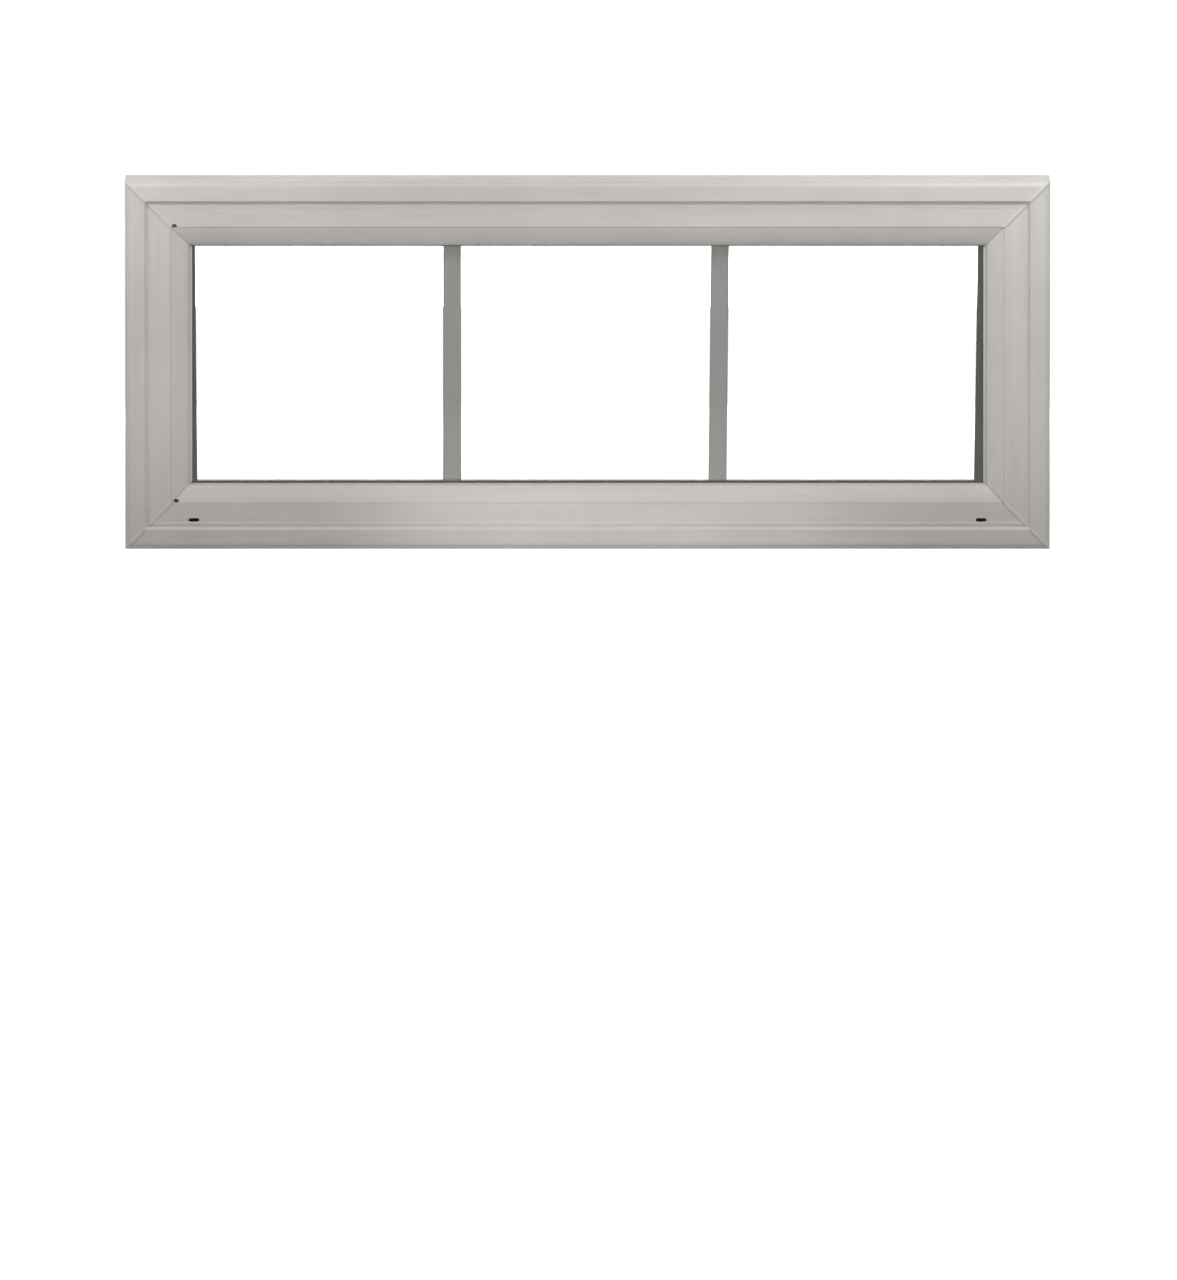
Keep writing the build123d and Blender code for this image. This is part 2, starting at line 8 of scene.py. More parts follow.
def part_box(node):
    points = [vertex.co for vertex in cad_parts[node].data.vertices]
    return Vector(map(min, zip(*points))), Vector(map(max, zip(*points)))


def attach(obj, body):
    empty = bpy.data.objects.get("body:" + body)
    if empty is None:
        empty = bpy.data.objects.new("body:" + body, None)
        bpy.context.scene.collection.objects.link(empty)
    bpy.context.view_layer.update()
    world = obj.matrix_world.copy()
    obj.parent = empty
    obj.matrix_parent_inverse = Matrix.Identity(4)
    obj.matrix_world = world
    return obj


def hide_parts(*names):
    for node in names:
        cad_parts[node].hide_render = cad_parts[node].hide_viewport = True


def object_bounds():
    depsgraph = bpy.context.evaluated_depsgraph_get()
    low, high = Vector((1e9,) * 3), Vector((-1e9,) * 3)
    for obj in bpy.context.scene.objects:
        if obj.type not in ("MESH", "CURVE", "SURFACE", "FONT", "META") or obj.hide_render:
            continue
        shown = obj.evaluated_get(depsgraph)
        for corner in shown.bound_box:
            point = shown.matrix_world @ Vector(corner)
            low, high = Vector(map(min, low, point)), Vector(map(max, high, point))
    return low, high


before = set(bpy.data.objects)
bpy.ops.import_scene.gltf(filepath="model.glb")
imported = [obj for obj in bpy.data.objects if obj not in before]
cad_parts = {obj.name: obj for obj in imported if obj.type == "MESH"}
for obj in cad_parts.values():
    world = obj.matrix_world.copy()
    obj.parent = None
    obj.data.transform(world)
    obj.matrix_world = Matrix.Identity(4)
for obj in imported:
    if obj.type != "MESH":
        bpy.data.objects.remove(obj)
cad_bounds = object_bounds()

# Frame
# Head, sill and jambs of one white vinyl extrusion, hollow, cut at 45 degrees and welded at the corners.
# The squeezed-out weld is scraped to a low ridge, which stands a little proud in front along each mitre.
# The scraping tool has nicked the face beside the upper left corner of the beads.
FRAME_LOW, FRAME_HIGH = cad_bounds
FRAME_WIDTH = FRAME_HIGH.x - FRAME_LOW.x
FRAME_HEIGHT = FRAME_HIGH.z - FRAME_LOW.z
FRAME_DEPTH = FRAME_HIGH.y - FRAME_LOW.y
FRAME_RECTANGLE = (FRAME_LOW.x, FRAME_HIGH.x, FRAME_LOW.z, FRAME_HIGH.z)
OUTSIDE_FACE = FRAME_LOW.y

NOSE_RADIUS = 0.006
RIM_END = 0.0193
STEP_FOOT = 0.0215
RIM_STEP = 0.004
STEP_RADIUS = 0.0008
QUIRK_START = 0.0224
QUIRK_END = 0.0268
QUIRK_PEAK = 0.0010
QUIRK_RADIUS = 0.0055
REBATE_FLOOR = 0.0452
FACE_EDGE_RADIUS = 0.0005
GROOVE_FRONT = 0.008
GROOVE_BACK = 0.0115
GROOVE_LIP = 0.0102
GROOVE_SHOULDER = 0.043
GROOVE_BOTTOM = 0.0402
LEG_FRONT = 0.039
LEG_BACK = 0.0415
LEG_RADIUS = 0.0009
SIGHT_LINE = 0.0634
LEDGE = 0.0614
LEDGE_START = 0.0435
LEDGE_END = 0.070
INSIDE_EDGE = 0.0554
INSIDE_SHOULDER = 0.0765
INSIDE_RADIUS = 0.002
FIN_SLOT_NECK = 0.003
FIN_SLOT_BOTTOM = 0.006
FIN_SLOT_MOUTH = (0.0334, 0.0366)
FIN_SLOT_POCKET = (0.0325, 0.0375)
WALL = 0.0022
WEB = 0.0015
BACK_WEB_MIDDLE = 0.0226
CHAMBER_FRONT_END = 0.0288
CHAMBER_MIDDLE_END = 0.0412
SLOT_BLOCK = 0.0082
WELD_HALF_WIDTH = 0.0027
WELD_RISE = 0.00035
WELD_STEPS = 4
RIM_FRONT = WELD_RISE
ROUND_SEGMENTS = 6
SLOT_SEGMENTS = 8
HOLE_SEGMENTS = 40
SLOT_ROUND = 0.4999
SAME_PLACE = 1e-7
SMOOTH_ANGLE = radians(32)

frame_outline = [
    (0, RIM_FRONT, NOSE_RADIUS),
    (RIM_END, RIM_FRONT, STEP_RADIUS),
    (STEP_FOOT, RIM_STEP, STEP_RADIUS / 2),
    (QUIRK_START, RIM_STEP),
    ((QUIRK_START + QUIRK_END) / 2, RIM_STEP - QUIRK_PEAK, QUIRK_RADIUS),
    (QUIRK_END, RIM_STEP),
    (REBATE_FLOOR, RIM_STEP, FACE_EDGE_RADIUS),
    (REBATE_FLOOR, GROOVE_FRONT),
    (GROOVE_BOTTOM, GROOVE_FRONT),
    (GROOVE_BOTTOM, GROOVE_BACK),
    (GROOVE_SHOULDER, GROOVE_BACK),
    (GROOVE_SHOULDER, GROOVE_LIP),
    (REBATE_FLOOR, GROOVE_LIP),
    (REBATE_FLOOR, LEG_FRONT),
    (SIGHT_LINE, LEG_FRONT, LEG_RADIUS),
    (SIGHT_LINE, LEG_BACK, LEG_RADIUS),
    (LEDGE, LEDGE_START),
    (LEDGE, LEDGE_END, INSIDE_RADIUS),
    (INSIDE_EDGE, INSIDE_SHOULDER, INSIDE_RADIUS),
    (INSIDE_EDGE, FRAME_DEPTH, INSIDE_RADIUS),
    (0, FRAME_DEPTH, INSIDE_RADIUS),
    (0, FIN_SLOT_MOUTH[1]),
    (FIN_SLOT_NECK, FIN_SLOT_MOUTH[1]),
    (FIN_SLOT_NECK, FIN_SLOT_POCKET[1]),
    (FIN_SLOT_BOTTOM, FIN_SLOT_POCKET[1]),
    (FIN_SLOT_BOTTOM, FIN_SLOT_POCKET[0]),
    (FIN_SLOT_NECK, FIN_SLOT_POCKET[0]),
    (FIN_SLOT_NECK, FIN_SLOT_MOUTH[0]),
    (0, FIN_SLOT_MOUTH[0]),
]
floor_under = REBATE_FLOOR - WALL
rim_back = RIM_END - WALL + STEP_RADIUS
middle_start = CHAMBER_FRONT_END + WEB
back_start = CHAMBER_MIDDLE_END + WEB
back_end = FRAME_DEPTH - WALL
frame_chambers = [
    [
        (WALL, RIM_FRONT + NOSE_RADIUS),
        (NOSE_RADIUS, RIM_FRONT + WALL),
        (rim_back, RIM_FRONT + WALL),
        (rim_back, CHAMBER_FRONT_END),
        (WALL, CHAMBER_FRONT_END),
    ],
    [
        (rim_back + WEB, RIM_STEP + WALL),
        (GROOVE_BOTTOM - WALL, RIM_STEP + WALL),
        (GROOVE_BOTTOM - WALL, GROOVE_BACK + WALL),
        (floor_under, GROOVE_BACK + WALL),
        (floor_under, CHAMBER_FRONT_END),
        (rim_back + WEB, CHAMBER_FRONT_END),
    ],
    [
        (SLOT_BLOCK, middle_start),
        (floor_under, middle_start),
        (floor_under, CHAMBER_MIDDLE_END),
        (SLOT_BLOCK, CHAMBER_MIDDLE_END),
    ],
    [
        (WALL, back_start),
        (BACK_WEB_MIDDLE - WEB / 2, back_start),
        (BACK_WEB_MIDDLE - WEB / 2, back_end),
        (WALL, back_end),
    ],
    [
        (BACK_WEB_MIDDLE + WEB / 2, back_start),
        (floor_under, back_start),
        (floor_under, back_end),
        (BACK_WEB_MIDDLE + WEB / 2, back_end),
    ],
    [
        (floor_under + WEB, CHAMBER_MIDDLE_END),
        (LEDGE - WALL, CHAMBER_MIDDLE_END),
        (LEDGE - WALL, LEDGE_END - WALL / 2),
        (INSIDE_EDGE - WALL, INSIDE_SHOULDER - WALL / 2),
        (INSIDE_EDGE - WALL, back_end),
        (floor_under + WEB, back_end),
    ],
]


def draw_loop(bm, corners):
    """Draws a closed loop across a bar. A corner is how far in, how deep, and its radius if it is round."""
    verts = [bm.verts.new((0, corner[1], corner[0])) for corner in corners]
    bm.faces.new(verts)
    count = len(corners)
    for index, corner in enumerate(corners):
        if len(corner) == 3:
            before = Vector(corners[index - 1][:2]) - Vector(corner[:2])
            after = Vector(corners[(index + 1) % count][:2]) - Vector(corner[:2])
            turn = pi - before.angle(after)
            bmesh.ops.bevel(
                bm,
                geom=[verts[index]],
                offset=corner[2] * tan(turn / 2),
                offset_type="OFFSET",
                affect="VERTICES",
                segments=ROUND_SEGMENTS,
                profile=0.5,
                material=-1,
            )


def mitred_bar(loops, length, setback=0.0, welded=False):
    """A bar along X with the loops as its section, mitred at both ends, with a ridge there if welded."""
    bm = bmesh.new()
    outside = bm.verts.layers.float.new("outside")
    weld = bm.verts.layers.float.new("weld")
    draw_loop(bm, loops[0])
    for vert in bm.verts:
        vert[outside] = 1.0
    for hollow in loops[1:]:
        draw_loop(bm, hollow)
    bmesh.ops.delete(bm, geom=bm.faces[:], context="FACES_ONLY")
    half = length / 2
    bmesh.ops.translate(bm, verts=bm.verts[:], vec=(-half - SIGHT_LINE, 0, 0))
    grown = bmesh.ops.extrude_edge_only(bm, edges=bm.edges[:])["geom"]
    new_verts = [item for item in grown if isinstance(item, bmesh.types.BMVert)]
    bmesh.ops.translate(bm, verts=new_verts, vec=(length + 2 * SIGHT_LINE, 0, 0))
    bmesh.ops.recalc_face_normals(bm, faces=bm.faces[:])
    steps = WELD_STEPS if welded else 0
    for end in (-1, 1):
        ridge = []
        for step in range(steps + 1):
            way = step / steps if steps else 0.0
            back = setback + (WELD_HALF_WIDTH * (1 - way) if welded else 0.0)
            cut = bmesh.ops.bisect_plane(
                bm,
                geom=bm.verts[:] + bm.edges[:] + bm.faces[:],
                dist=SAME_PLACE,
                plane_co=(end * (half - back * sqrt(2)), 0, 0),
                plane_no=(end, 0, 1),
                clear_outer=step == steps,
            )["geom_cut"]
            share = (1 - cos(pi * way)) / 2
            ridge += [(item, share) for item in cut if isinstance(item, bmesh.types.BMVert)]
        for vert, share in ridge:
            vert[weld] = share
            if vert[outside] > 0.5 and vert.co.y < GROOVE_FRONT - WELD_RISE:
                vert.co.y -= WELD_RISE * share
    for end in (-1, 1):
        rim = [edge for edge in bm.edges if edge.is_boundary and edge.verts[0].co.x * end > 0]
        bmesh.ops.triangle_fill(bm, use_beauty=True, use_dissolve=False, edges=rim)
    bmesh.ops.recalc_face_normals(bm, faces=bm.faces[:])
    return bm


def put_on_side(bm, side, rectangle):
    """Turns a bar that lies on its outer edge onto one side of a rectangle, facing inwards."""
    left, right, bottom, top = rectangle
    middle_x, middle_z = (left + right) / 2, (bottom + top) / 2
    turns = {"sill": 0.0, "head": pi, "left": pi / 2, "right": -pi / 2}
    places = {
        "sill": (middle_x, OUTSIDE_FACE, bottom),
        "head": (middle_x, OUTSIDE_FACE, top),
        "left": (left, OUTSIDE_FACE, middle_z),
        "right": (right, OUTSIDE_FACE, middle_z),
    }
    turned = Matrix.Rotation(turns[side], 4, "Y")
    bmesh.ops.transform(bm, matrix=Matrix.Translation(places[side]) @ turned, verts=bm.verts[:])


def side_length(side, rectangle):
    """Length of one side of a rectangle."""
    left, right, bottom, top = rectangle
    return right - left if side in ("sill", "head") else top - bottom


def finished(bm, name):
    """The bmesh as an object, smooth but for its real edges."""
    mesh = bpy.data.meshes.new(name)
    bm.to_mesh(mesh)
    bm.free()
    mesh.shade_smooth()
    mesh.set_sharp_from_angle(angle=SMOOTH_ANGLE)
    piece = bpy.data.objects.new(name, mesh)
    bpy.context.collection.objects.link(piece)
    return piece


def cut_away(piece, cutters):
    """Cuts the closed bmeshes out of a piece, and leaves its mesh with no live modifier."""
    for bm in cutters:
        cutter = finished(bm, "cutter")
        cut = piece.modifiers.new("cut", "BOOLEAN")
        cut.operation = "DIFFERENCE"
        cut.solver = "EXACT"
        cut.object = cutter
        settled = piece.evaluated_get(bpy.context.evaluated_depsgraph_get())
        cut_mesh = bpy.data.meshes.new_from_object(settled)
        piece.modifiers.clear()
        piece.data = cut_mesh
        bpy.data.objects.remove(cutter)
    piece.data.set_sharp_from_angle(angle=SMOOTH_ANGLE)


def even_shading(piece):
    """Keeps large flat faces flat between their rounded edges."""
    weighted = piece.modifiers.new("even shading", "WEIGHTED_NORMAL")
    weighted.keep_sharp = True


def slot_cutter(length, width, depth):
    """A cutter along X, cutting through Y. Its ends are rounded by just under half its width."""
    bm = bmesh.new()
    bmesh.ops.create_cube(bm, size=1.0)
    bmesh.ops.scale(bm, vec=(length, depth, width), verts=bm.verts[:])
    ends = [e for e in bm.edges if abs(e.verts[0].co.y - e.verts[1].co.y) > depth / 2]
    bmesh.ops.bevel(
        bm,
        geom=ends,
        offset=width * SLOT_ROUND,
        offset_type="OFFSET",
        affect="EDGES",
        segments=SLOT_SEGMENTS,
        profile=0.5,
        material=-1,
    )
    bmesh.ops.recalc_face_normals(bm, faces=bm.faces[:])
    return bm


def round_cutter(radius, length):
    """A round cutter along X, with its middle at the origin."""
    bm = bmesh.new()
    bmesh.ops.create_cone(
        bm,
        cap_ends=True,
        segments=HOLE_SEGMENTS,
        radius1=radius,
        radius2=radius,
        depth=length,
    )
    bmesh.ops.rotate(bm, matrix=Matrix.Rotation(pi / 2, 3, "Y"), verts=bm.verts[:])
    return bm


def moved(bm, place):
    """The bmesh, shifted to its place."""
    bmesh.ops.translate(bm, vec=place, verts=bm.verts[:])
    return bm


NICK_LENGTH = 0.0050
NICK_WIDTH = 0.0036
NICK_DEPTH = 0.012
nick_places = {"head": (0.0486, FRAME_HEIGHT - 0.0438), "sill": (0.0503, 0.0472)}


def nick_cutter(rail):
    """A short round-ended cutter for the hole beside a corner of the beads on the left."""
    from_left, height = nick_places[rail]
    place = (from_left - FRAME_WIDTH / 2, OUTSIDE_FACE, height)
    return moved(slot_cutter(NICK_LENGTH, NICK_WIDTH, 2 * NICK_DEPTH), place)


WEEP_LENGTH = 0.0105
WEEP_HEIGHT = 0.0035
WEEP_FROM_END = 0.0675
WEEP_FROM_EDGE = 0.0285
WEEP_CUT = 4 * WALL
DRAIN_LENGTH = 0.020
DRAIN_WIDTH = 0.004
DRAIN_DEPTH = 0.023
DRAIN_FROM_MIDDLE = 0.330
DRAIN_CUT = 2 * WALL
FIXING_SPACING = 0.160
FIXING_DEPTH = 0.058
FIXING_RADIUS = 0.0025
FIXING_CUT = 3 * WALL
DRIVER_RADIUS = 0.005
fixing_heights = {
    "lower": FRAME_HEIGHT / 2 - FIXING_SPACING / 2,
    "upper": FRAME_HEIGHT / 2 + FIXING_SPACING / 2,
}
sides = ("sill", "head", "left", "right")
frame_names = {
    "sill": "frame_sill",
    "head": "frame_head",
    "left": "frame_jamb_left",
    "right": "frame_jamb_right",
}
frame_pieces = {}
for side in sides:
    length = side_length(side, FRAME_RECTANGLE)
    bm = mitred_bar([frame_outline] + frame_chambers, length, welded=True)
    put_on_side(bm, side, FRAME_RECTANGLE)
    frame_pieces[side] = finished(bm, frame_names[side] + "_vinyl")

weep_cutters = []
for end in (-1, 1):
    place = (end * (FRAME_WIDTH / 2 - WEEP_FROM_END), OUTSIDE_FACE + RIM_STEP, WEEP_FROM_EDGE)
    weep_cutters.append(moved(slot_cutter(WEEP_LENGTH, WEEP_HEIGHT, WEEP_CUT), place))
for x in (-DRAIN_FROM_MIDDLE, 0.0, DRAIN_FROM_MIDDLE):
    bm = slot_cutter(DRAIN_LENGTH, DRAIN_WIDTH, DRAIN_CUT)
    bmesh.ops.rotate(bm, matrix=Matrix.Rotation(pi / 2, 3, "X"), verts=bm.verts[:])
    place = (x, OUTSIDE_FACE + DRAIN_DEPTH, REBATE_FLOOR - WALL / 2)
    weep_cutters.append(moved(bm, place))
cut_away(frame_pieces["sill"], weep_cutters)
cut_away(frame_pieces["head"], [nick_cutter("head")])

for side, towards_middle in (("left", 1), ("right", -1)):
    outer = -towards_middle * FRAME_WIDTH / 2
    cutters = []
    for height in fixing_heights.values():
        screw = (outer, OUTSIDE_FACE + FIXING_DEPTH, height)
        inwards = towards_middle * (FIXING_CUT + LEDGE) / 2
        driver = (outer + inwards, OUTSIDE_FACE + FIXING_DEPTH, height)
        cutters.append(moved(round_cutter(FIXING_RADIUS, FIXING_CUT), screw))
        cutters.append(moved(round_cutter(DRIVER_RADIUS, LEDGE), driver))
    cut_away(frame_pieces[side], cutters)

for side, piece in frame_pieces.items():
    even_shading(piece)
    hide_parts(frame_names[side])
    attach(piece, "root")


def linear(red, green, blue):
    """A colour seen on a screen, from 0 to 255, as Blender's own linear colour."""
    return tuple((((c / 255) + 0.055) / 1.055) ** 2.4 for c in (red, green, blue)) + (1.0,)


def new_group(name, outputs):
    """A node group that takes a vector and puts out numbers. Returns it, its vector and its output node."""
    group = bpy.data.node_groups.new(name, "ShaderNodeTree")
    group.interface.new_socket("Vector", in_out="INPUT", socket_type="NodeSocketVector")
    for label in outputs:
        group.interface.new_socket(label, in_out="OUTPUT", socket_type="NodeSocketFloat")
    vector = group.nodes.new("NodeGroupInput").outputs["Vector"]
    return group, vector, group.nodes.new("NodeGroupOutput")


def feed(tree, sockets, values):
    """Gives each socket its value: a plain one, or a link to another node's output."""
    for socket, value in zip(sockets, values):
        if isinstance(value, bpy.types.NodeSocket):
            tree.links.new(value, socket)
        else:
            socket.default_value = value


def mix_colour(tree, factor, first, second):
    """Mixes two colours. A mix node has its factor, its two colours and its result in these sockets."""
    node = tree.nodes.new("ShaderNodeMix")
    node.data_type = "RGBA"
    feed(tree, (node.inputs[0], node.inputs[6], node.inputs[7]), (factor, first, second))
    return node.outputs[2]


def calculate(tree, operation, *values):
    """One operation on up to three numbers, each a plain one or another node's output."""
    node = tree.nodes.new("ShaderNodeMath")
    node.operation = operation
    feed(tree, node.inputs, values)
    return node.outputs[0]


def in_range(tree, value, low, high, new_low=0.0, new_high=1.0):
    """The value's way from low to high, as a number from new_low to new_high."""
    node = tree.nodes.new("ShaderNodeMapRange")
    tree.links.new(value, node.inputs["Value"])
    node.inputs["From Min"].default_value = low
    node.inputs["From Max"].default_value = high
    node.inputs["To Min"].default_value = new_low
    node.inputs["To Max"].default_value = new_high
    return node.outputs["Result"]


def noise(tree, vector, scale, detail=2.0, roughness=0.5):
    """Cloudy noise from 0 to 1."""
    node = tree.nodes.new("ShaderNodeTexNoise")
    tree.links.new(vector, node.inputs["Vector"])
    node.inputs["Scale"].default_value = scale
    node.inputs["Detail"].default_value = detail
    node.inputs["Roughness"].default_value = roughness
    return node.outputs["Fac"]


# Die lines: long faint lines that the die leaves along an extrusion, in tone and in height
FINE_SHARE = 0.35
die_lines, vector, result = new_group("die lines", ("Tone", "Height"))
broad = noise(die_lines, vector, scale=90.0, detail=3.0)
fine = noise(die_lines, vector, scale=420.0, detail=2.0)
broad = calculate(die_lines, "MULTIPLY", broad, 1 - FINE_SHARE)
tone = calculate(die_lines, "MULTIPLY_ADD", fine, FINE_SHARE, broad)
die_lines.links.new(in_range(die_lines, tone, 0.3, 0.7), result.inputs["Tone"])
die_lines.links.new(fine, result.inputs["Height"])

# Handling marks: soft smears and a few fine scuffs from hands, racks and wrapping
handling, vector, result = new_group("handling marks", ("Smear", "Scuff"))
smear = in_range(handling, noise(handling, vector, scale=9.0, detail=4.0, roughness=0.6), 0.42, 0.72)
scuff = in_range(handling, noise(handling, vector, scale=140.0, detail=5.0, roughness=0.7), 0.66, 0.74)
patch = in_range(handling, noise(handling, vector, scale=17.0, detail=2.0), 0.52, 0.62)
handling.links.new(smear, result.inputs["Smear"])
handling.links.new(calculate(handling, "MULTIPLY", scuff, patch), result.inputs["Scuff"])

# Settled dust: lies on what faces up
dust, vector, result = new_group("settled dust", ("Mask",))
surface = dust.nodes.new("ShaderNodeNewGeometry")
split = dust.nodes.new("ShaderNodeSeparateXYZ")
dust.links.new(surface.outputs["Normal"], split.inputs[0])
upwards = in_range(dust, split.outputs["Z"], 0.25, 0.95)
speckle = in_range(dust, noise(dust, vector, scale=260.0, detail=4.0, roughness=0.65), 0.35, 0.75)
dust.links.new(calculate(dust, "MULTIPLY", upwards, speckle), result.inputs["Mask"])


def placed_group(tree, group, vector):
    """A node that uses a group, fed with a vector."""
    node = tree.nodes.new("ShaderNodeGroup")
    node.node_tree = group
    tree.links.new(vector, node.inputs["Vector"])
    return node


def new_material(name):
    """A material, with its tree, its principled shader and its object coordinates."""
    material = bpy.data.materials.new(name)
    material.use_nodes = True
    tree = material.node_tree
    coordinates = tree.nodes.new("ShaderNodeTexCoord").outputs["Object"]
    return material, tree, tree.nodes["Principled BSDF"], coordinates


def stretched(tree, coordinates, stretch):
    """The coordinates with one axis pressed together, which draws a pattern out along it."""
    mapping = tree.nodes.new("ShaderNodeMapping")
    feed(tree, (mapping.inputs["Vector"], mapping.inputs["Scale"]), (coordinates, stretch))
    return mapping.outputs["Vector"]


def bump(tree, shader, height, strength, distance):
    """Sends a height to the shader's normal, and returns its node."""
    node = tree.nodes.new("ShaderNodeBump")
    node.inputs["Strength"].default_value = strength
    node.inputs["Distance"].default_value = distance
    tree.links.new(height, node.inputs["Height"])
    tree.links.new(node.outputs["Normal"], shader.inputs["Normal"])
    return node


# White vinyl, as the photograph's light shows it: a warm light grey, satin, with faint lines along the bar
VINYL_LIGHT = linear(204, 200, 195)
VINYL_MAIN = linear(194, 190, 185)
VINYL_DULL = linear(178, 175, 169)
VINYL_DUST = linear(187, 184, 178)
VINYL_SMEARED = 0.35
VINYL_SCUFFED = 0.5
VINYL_DUSTY = 0.4
VINYL_ROUGHNESS = (0.36, 0.5)
VINYL_SHINE = 0.4
WELD_ROUGHNESS = 0.12
WELD_SHADE = 0.0005
SCRAPE_SHARE = 1.5
DIE_LINE_DEPTH = 0.0001
ALONG_X = (0.05, 1.0, 1.0)
ALONG_Z = (1.0, 1.0, 0.05)


def vinyl(name, stretch):
    """Extruded white vinyl whose die lines run along one axis. Its welds are rougher and stand proud."""
    material, tree, shader, coordinates = new_material(name)
    lines = placed_group(tree, die_lines, stretched(tree, coordinates, stretch))
    marks = placed_group(tree, handling, coordinates)
    settled = placed_group(tree, dust, coordinates)
    colour = mix_colour(tree, lines.outputs["Tone"], VINYL_MAIN, VINYL_LIGHT)
    smeared = calculate(tree, "MULTIPLY", marks.outputs["Smear"], VINYL_SMEARED)
    colour = mix_colour(tree, smeared, colour, VINYL_DULL)
    scuffed = calculate(tree, "MULTIPLY", marks.outputs["Scuff"], VINYL_SCUFFED)
    colour = mix_colour(tree, scuffed, colour, VINYL_LIGHT)
    dusty = calculate(tree, "MULTIPLY", settled.outputs["Mask"], VINYL_DUSTY)
    colour = mix_colour(tree, dusty, colour, VINYL_DUST)
    tree.links.new(colour, shader.inputs["Base Color"])
    weld = tree.nodes.new("ShaderNodeAttribute")
    weld.attribute_name = "weld"
    roughness = in_range(tree, marks.outputs["Smear"], 0.0, 1.0, *VINYL_ROUGHNESS)
    roughness = calculate(tree, "MULTIPLY_ADD", weld.outputs["Fac"], WELD_ROUGHNESS, roughness)
    tree.links.new(roughness, shader.inputs["Roughness"])
    shader.inputs["Specular IOR Level"].default_value = VINYL_SHINE
    scraped = noise(tree, coordinates, scale=900.0, detail=3.0)
    scraped = calculate(tree, "MULTIPLY", scraped, weld.outputs["Fac"])
    height = calculate(tree, "MULTIPLY_ADD", scraped, SCRAPE_SHARE, lines.outputs["Height"])
    ridge = bump(tree, shader, weld.outputs["Fac"], strength=1.0, distance=WELD_SHADE)
    lined = bump(tree, shader, height, strength=0.25, distance=DIE_LINE_DEPTH)
    tree.links.new(ridge.outputs["Normal"], lined.inputs["Normal"])
    return material


vinyl_flat = vinyl("white vinyl along X", ALONG_X)
vinyl_upright = vinyl("white vinyl along Z", ALONG_Z)
vinyl_for_side = {"sill": vinyl_flat, "head": vinyl_flat, "left": vinyl_upright, "right": vinyl_upright}
for side, piece in frame_pieces.items():
    piece.data.materials.clear()
    piece.data.materials.append(vinyl_for_side[side])

# Glazing beads
# Hollow white vinyl strips with a barbed leg that snaps into the frame's groove and holds the glass in.
# They are cut to 45 degrees with a hairline gap. At the left, the head's nick runs into its bead, and the tip
# of the sill's bead is chipped, with the end of the upright beside it.
BEAD_FRONT = 0.0044
BEAD_NOSE = 0.0624
BEAD_NOSE_DEPTH = 0.0124
BEAD_FOOT_END = 0.0165
BEAD_CROWN = 0.0011
BEAD_CROWN_RADIUS = 0.060
BEAD_EDGE_RADIUS = 0.0005
BEAD_NOSE_RADIUS = 0.0015
BEAD_WALL = 0.0014
BEAD_MITRE_GAP = 0.0003
SNAP_FRONT = 0.00825
SNAP_BACK = 0.00995
SNAP_END = 0.04045
BARB_TOP = 0.04275
BARB_BACK = 0.01125

bead_slope = Vector((BEAD_NOSE - REBATE_FLOOR, BEAD_NOSE_DEPTH - BEAD_FRONT)).normalized()
bead_outline = [
    (REBATE_FLOOR, BEAD_FRONT, BEAD_EDGE_RADIUS),
    (
        (REBATE_FLOOR + BEAD_NOSE) / 2 + BEAD_CROWN * bead_slope.y,
        (BEAD_FRONT + BEAD_NOSE_DEPTH) / 2 - BEAD_CROWN * bead_slope.x,
        BEAD_CROWN_RADIUS,
    ),
    (BEAD_NOSE, BEAD_NOSE_DEPTH, BEAD_NOSE_RADIUS),
    (BEAD_NOSE, BEAD_FOOT_END),
    (REBATE_FLOOR, BEAD_FOOT_END),
    (REBATE_FLOOR, SNAP_BACK),
    (BARB_TOP, SNAP_BACK),
    (BARB_TOP, BARB_BACK),
    (SNAP_END, SNAP_BACK),
    (SNAP_END, SNAP_FRONT),
    (REBATE_FLOOR, SNAP_FRONT),
]
bead_hollow = [
    (REBATE_FLOOR + BEAD_WALL, BEAD_FRONT + 2 * BEAD_WALL),
    (BEAD_NOSE - BEAD_WALL, BEAD_NOSE_DEPTH + BEAD_WALL),
    (BEAD_NOSE - BEAD_WALL, BEAD_FOOT_END - BEAD_WALL),
    (REBATE_FLOOR + BEAD_WALL, BEAD_FOOT_END - BEAD_WALL),
]

bead_nicks = {"head": ("head",), "sill": ("sill",), "left": ("sill",), "right": ()}
for side in sides:
    length = side_length(side, FRAME_RECTANGLE)
    bm = mitred_bar([bead_outline, bead_hollow], length, setback=BEAD_MITRE_GAP / 2)
    put_on_side(bm, side, FRAME_RECTANGLE)
    piece = finished(bm, f"glazing_bead_{side}_vinyl")
    cut_away(piece, [nick_cutter(rail) for rail in bead_nicks[side]])
    even_shading(piece)
    piece.data.materials.clear()
    piece.data.materials.append(vinyl_for_side[side])
    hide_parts(f"glazing_bead_{side}")
    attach(piece, "root")

# Soft lips of the beads
# A light grey flexible strip, drawn together with each bead, that bears on the glass and keeps rain out.
# Pressed against the glass, the lips of the uprights are squeezed out further than the other two.
LIP_BOND = 0.0589
LIP_REACH = {"sill": 0.0640, "head": 0.0640, "left": 0.0660, "right": 0.0655}
LIP_UNDERCUT = 0.0006
LIP_NOSE_START = 0.0154
GLASS_FRONT = 0.018
LIP_RADIUS = 0.0005
LIP_LIGHT = linear(204, 203, 197)
LIP_DULL = linear(180, 179, 172)
LIP_SMEARED = 0.4
LIP_ROUGHNESS = (0.55, 0.75)


